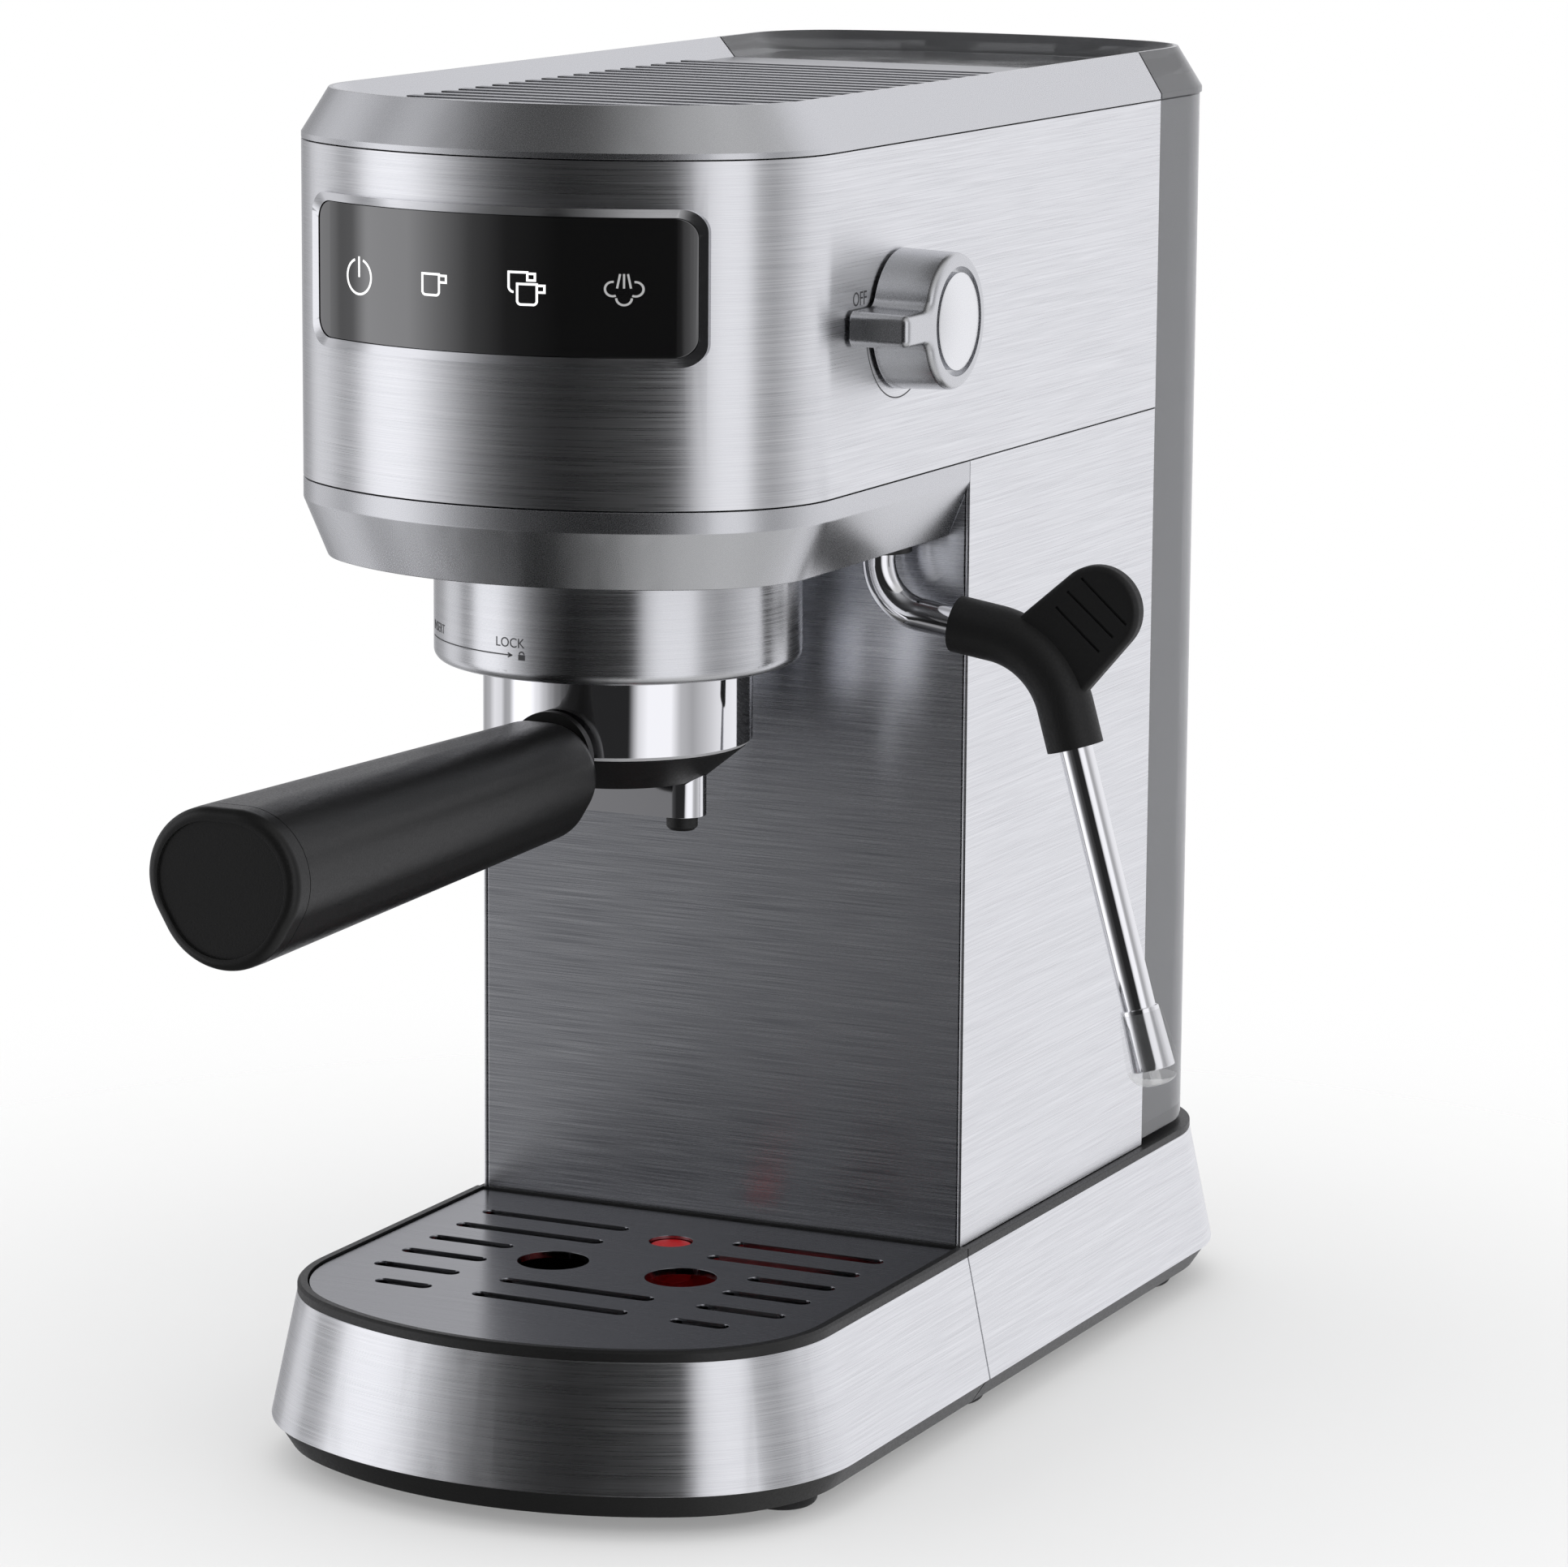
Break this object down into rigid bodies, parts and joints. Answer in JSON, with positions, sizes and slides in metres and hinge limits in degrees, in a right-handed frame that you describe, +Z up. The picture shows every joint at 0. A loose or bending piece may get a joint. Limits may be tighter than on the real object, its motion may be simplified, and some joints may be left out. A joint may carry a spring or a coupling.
{
  "type": "espresso machine",
  "caption": "Slim home espresso machine with portafilter, swivelling steam wand, turning steam knob, slide-out drip tray and lift-out water tank.",
  "frame": {"origin": "on the counter, under the middle of the base", "axes": "+X to the right seen from the front, +Y to the back, +Z up"},
  "size_m": [0.1887, 0.399, 0.307],
  "materials": {
    "brushed_steel": "brushed along the panel",
    "silver_plastic": "satin silver paint with a fine fleck",
    "smoked_plastic": "clear smoked",
    "black_plastic": "satin",
    "black_glass": "gloss",
    "chrome": "polished",
    "stainless": "plain",
    "rubber": "matte",
    "red_plastic": "satin",
    "pale_plastic": "satin",
    "cast_aluminium": "cast",
    "brass": "plain",
    "coil_case": "satin",
    "silicone": "satin",
    "circuit_board": "satin"
  },
  "bodies": {
    "machine": {"rear_skirt": "brushed_steel", "column_front_panel": "brushed_steel", "column_side_left": "brushed_steel", "column_side_right": "brushed_steel", "head_band": "brushed_steel", "group_collar": "brushed_steel", "head_trim": "silver_plastic", "top_cover": "silver_plastic", "display_bezel": "silver_plastic", "bottom_plate": "black_plastic", "base_shell": "black_plastic", "cord_gland": "black_plastic", "inner_frame": "black_plastic", "tank_socket": "black_plastic", "wand_socket": "black_plastic", "thermostats": "black_plastic", "pump_body": "black_plastic", "display_glass": "black_glass", "shower_screen": "stainless", "base_screws": "stainless", "boiler_bolts": "stainless", "rubber_feet": "rubber", "group_gasket": "rubber", "socket_seal": "rubber", "pump_mounts": "rubber", "boiler_gasket": "rubber", "boiler_lower": "cast_aluminium", "boiler_upper": "cast_aluminium", "brew_group": "cast_aluminium", "steam_valve": "brass", "steam_pipe": "brass", "wand_feed": "brass", "pump_coil": "coil_case", "inlet_hose": "silicone", "pump_hose": "silicone", "display_board": "circuit_board", "control_board": "circuit_board"},
    "steam_knob": {"knob_body": "silver_plastic", "knob_cap": "silver_plastic", "knob_spindle": "stainless"},
    "steam_wand": {"wand_pipe": "chrome", "wand_grip": "rubber", "wand_nozzle": "chrome", "wand_tip": "pale_plastic"},
    "portafilter": {"portafilter_bowl": "chrome", "portafilter_underside": "black_plastic", "filter_basket": "stainless", "basket_spring": "stainless", "twin_spout": "chrome", "spout_tips": "rubber", "handle_grip": "black_plastic", "handle_cap": "black_plastic"},
    "drip_tray": {"tray_body": "black_plastic", "tray_skirt": "brushed_steel", "tray_feet": "rubber"},
    "drip_grille": {"drip_grille": "brushed_steel"},
    "tray_float": {"tray_float": "red_plastic"},
    "water_tank": {"tank_shell": "smoked_plastic", "tank_valve": "pale_plastic"},
    "tank_lid": {"tank_lid": "smoked_plastic"}
  },
  "joints": [
    {"name": "tray_slide", "type": "slide", "parent": "machine", "child": "drip_tray", "axis": [0, -1, 0], "range_m": [0, 0.15]},
    {"name": "grille_lift", "type": "slide", "parent": "drip_tray", "child": "drip_grille", "axis": [0, 0, 1], "range_m": [0, 0.04]},
    {"name": "float_rise", "type": "slide", "parent": "drip_tray", "child": "tray_float", "axis": [0, 0, 1], "range_m": [0, 0.006]},
    {"name": "portafilter_turn", "type": "hinge", "parent": "machine", "child": "portafilter", "pos_m": [0, -0.074, 0.19], "axis": [0, 0, 1], "range_deg": [-45, 0]},
    {"name": "knob_turn", "type": "hinge", "parent": "machine", "child": "steam_knob", "pos_m": [0.062, -0.0615, 0.258], "axis": [1, 0, 0], "range_deg": [0, 135]},
    {"name": "wand_swivel", "type": "hinge", "parent": "machine", "child": "steam_wand", "pos_m": [0.0443, -0.032, 0.2], "axis": [0, 0, 1], "range_deg": [-65, 0]},
    {"name": "tank_lift", "type": "slide", "parent": "machine", "child": "water_tank", "axis": [0, 0, 1], "range_m": [0, 0.27]},
    {"name": "lid_hinge", "type": "hinge", "parent": "water_tank", "child": "tank_lid", "pos_m": [0, 0.144, 0.296], "axis": [-1, 0, 0], "range_deg": [0, 95]}
  ]
}
